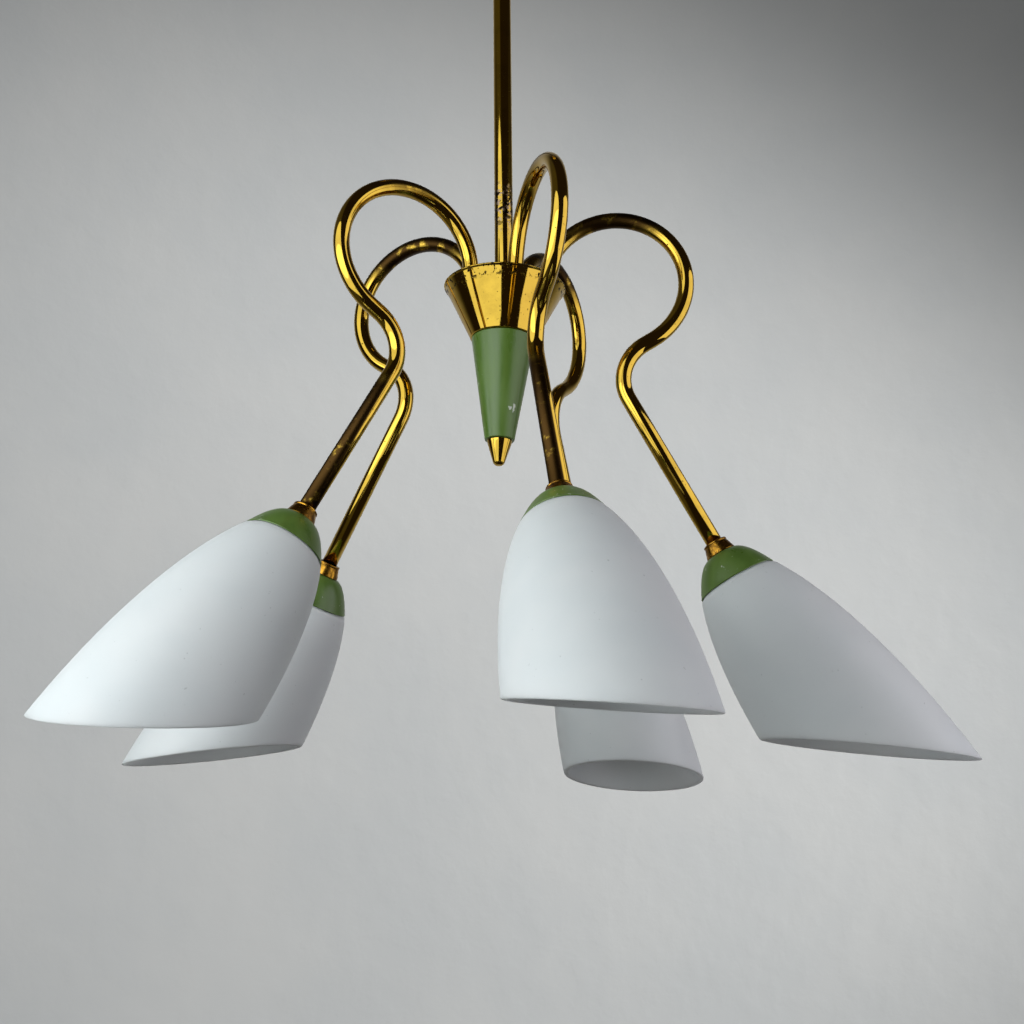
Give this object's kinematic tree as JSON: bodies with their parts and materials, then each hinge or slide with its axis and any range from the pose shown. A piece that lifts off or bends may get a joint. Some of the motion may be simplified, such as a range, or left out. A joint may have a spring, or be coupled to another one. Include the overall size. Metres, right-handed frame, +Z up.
{
  "type": "multi arm chandelier",
  "caption": "Hanging ceiling light with looped brass arms, a brass cup over a green cone, and egg-shaped opal glass shades cut off level.",
  "frame": {"origin": "middle of the ceiling bracket's top face, which is screwed to the ceiling", "axes": "+Z up along the stem, out of the bracket face; +X towards the right arm; -Y towards the front arm"},
  "size_m": [0.5195, 0.511, 0.7357],
  "materials": {
    "polished_brass": "polished, lacquered, aged",
    "dull_bronze": "dull, patinated",
    "zinc_steel": "zinc plated",
    "green_lacquer": "satin lacquer",
    "opal_glass": "satin etched",
    "bulb_glass": "frosted",
    "black_bakelite": "moulded, semi gloss",
    "white_plastic": "moulded, matt",
    "white_rubber": "matt"
  },
  "bodies": {
    "fixture": {"ceiling_bracket": "zinc_steel", "top_nipple": "zinc_steel", "top_nut": "zinc_steel", "ceiling_terminal": "white_plastic", "stem_tube": "polished_brass", "hub": "polished_brass", "tie_tube": "zinc_steel", "cup": "polished_brass", "green_cone": "green_lacquer", "junction_disc": "black_bakelite", "supply_cable": "white_rubber", "arm_tube_front": "polished_brass", "arm_nut_front": "polished_brass", "arm_lead_front": "white_rubber", "ferrule_front": "dull_bronze", "green_cap_front": "green_lacquer", "lampholder_front": "black_bakelite", "shade_ring_front": "black_bakelite", "arm_tube_right": "polished_brass", "arm_nut_right": "polished_brass", "arm_lead_right": "white_rubber", "ferrule_right": "dull_bronze", "green_cap_right": "green_lacquer", "lampholder_right": "black_bakelite", "shade_ring_right": "black_bakelite", "arm_tube_back": "polished_brass", "arm_nut_back": "polished_brass", "arm_lead_back": "white_rubber", "ferrule_back": "dull_bronze", "green_cap_back": "green_lacquer", "lampholder_back": "black_bakelite", "shade_ring_back": "black_bakelite", "arm_tube_left_rear": "polished_brass", "arm_nut_left_rear": "polished_brass", "arm_lead_left_rear": "white_rubber", "ferrule_left_rear": "dull_bronze", "green_cap_left_rear": "green_lacquer", "lampholder_left_rear": "black_bakelite", "shade_ring_left_rear": "black_bakelite", "arm_tube_left_front": "polished_brass", "arm_nut_left_front": "polished_brass", "arm_lead_left_front": "white_rubber", "ferrule_left_front": "dull_bronze", "green_cap_left_front": "green_lacquer", "lampholder_left_front": "black_bakelite", "shade_ring_left_front": "black_bakelite"},
    "canopy": {"canopy": "polished_brass", "canopy_collar": "polished_brass"},
    "canopy_screw": {"canopy_screw": "polished_brass"},
    "finial": {"finial": "polished_brass"},
    "shade_front": {"glass_shade_front": "opal_glass"},
    "bulb_front": {"bulb_front": "bulb_glass"},
    "shade_right": {"glass_shade_right": "opal_glass"},
    "bulb_right": {"bulb_right": "bulb_glass"},
    "shade_back": {"glass_shade_back": "opal_glass"},
    "bulb_back": {"bulb_back": "bulb_glass"},
    "shade_left_rear": {"glass_shade_left_rear": "opal_glass"},
    "bulb_left_rear": {"bulb_left_rear": "bulb_glass"},
    "shade_left_front": {"glass_shade_left_front": "opal_glass"},
    "bulb_left_front": {"bulb_left_front": "bulb_glass"}
  },
  "joints": [
    {"name": "canopy_slide", "type": "slide", "parent": "fixture", "child": "canopy", "axis": [0, 0, 1], "range_m": [-0.3, 0]},
    {"name": "canopy_screw_turn", "type": "hinge", "parent": "canopy", "child": "canopy_screw", "pos_m": [0, 0, -0.0628], "axis": [1, 0, 0], "continuous": true},
    {"name": "finial_turn", "type": "hinge", "parent": "fixture", "child": "finial", "pos_m": [-0.00398, 0, -0.54152], "axis": [0.0384, 0, 0.9993], "continuous": true},
    {"name": "shade_turn_front", "type": "hinge", "parent": "fixture", "child": "shade_front", "pos_m": [0.02599, -0.122, -0.60098], "axis": [0.0854, -0.446, -0.8909], "continuous": true},
    {"name": "bulb_unscrew_front", "type": "slide", "parent": "fixture", "child": "bulb_front", "axis": [0.0854, -0.446, -0.8909], "range_m": [0, 0.0113]},
    {"name": "shade_turn_right", "type": "hinge", "parent": "fixture", "child": "shade_right", "pos_m": [0.12528, -0.01292, -0.60276], "axis": [0.456, -0.0515, -0.8885], "continuous": true},
    {"name": "bulb_unscrew_right", "type": "slide", "parent": "fixture", "child": "bulb_right", "axis": [0.456, -0.0515, -0.8885], "range_m": [0, 0.0113]},
    {"name": "shade_turn_back", "type": "hinge", "parent": "fixture", "child": "shade_back", "pos_m": [0.05666, 0.11603, -0.60012], "axis": [0.2126, 0.4265, -0.8792], "continuous": true},
    {"name": "bulb_unscrew_back", "type": "slide", "parent": "fixture", "child": "bulb_back", "axis": [0.2126, 0.4265, -0.8792], "range_m": [0, 0.0113]},
    {"name": "shade_turn_left_rear", "type": "hinge", "parent": "fixture", "child": "shade_left_rear", "pos_m": [-0.11494, 0.06906, -0.59458], "axis": [-0.4446, 0.2422, -0.8624], "continuous": true},
    {"name": "bulb_unscrew_left_rear", "type": "slide", "parent": "fixture", "child": "bulb_left_rear", "axis": [-0.4446, 0.2422, -0.8624], "range_m": [0, 0.0113]},
    {"name": "shade_turn_left_front", "type": "hinge", "parent": "fixture", "child": "shade_left_front", "pos_m": [-0.11406, -0.06538, -0.5956], "axis": [-0.4296, -0.2378, -0.8712], "continuous": true},
    {"name": "bulb_unscrew_left_front", "type": "slide", "parent": "fixture", "child": "bulb_left_front", "axis": [-0.4296, -0.2378, -0.8712], "range_m": [0, 0.0113]}
  ]
}
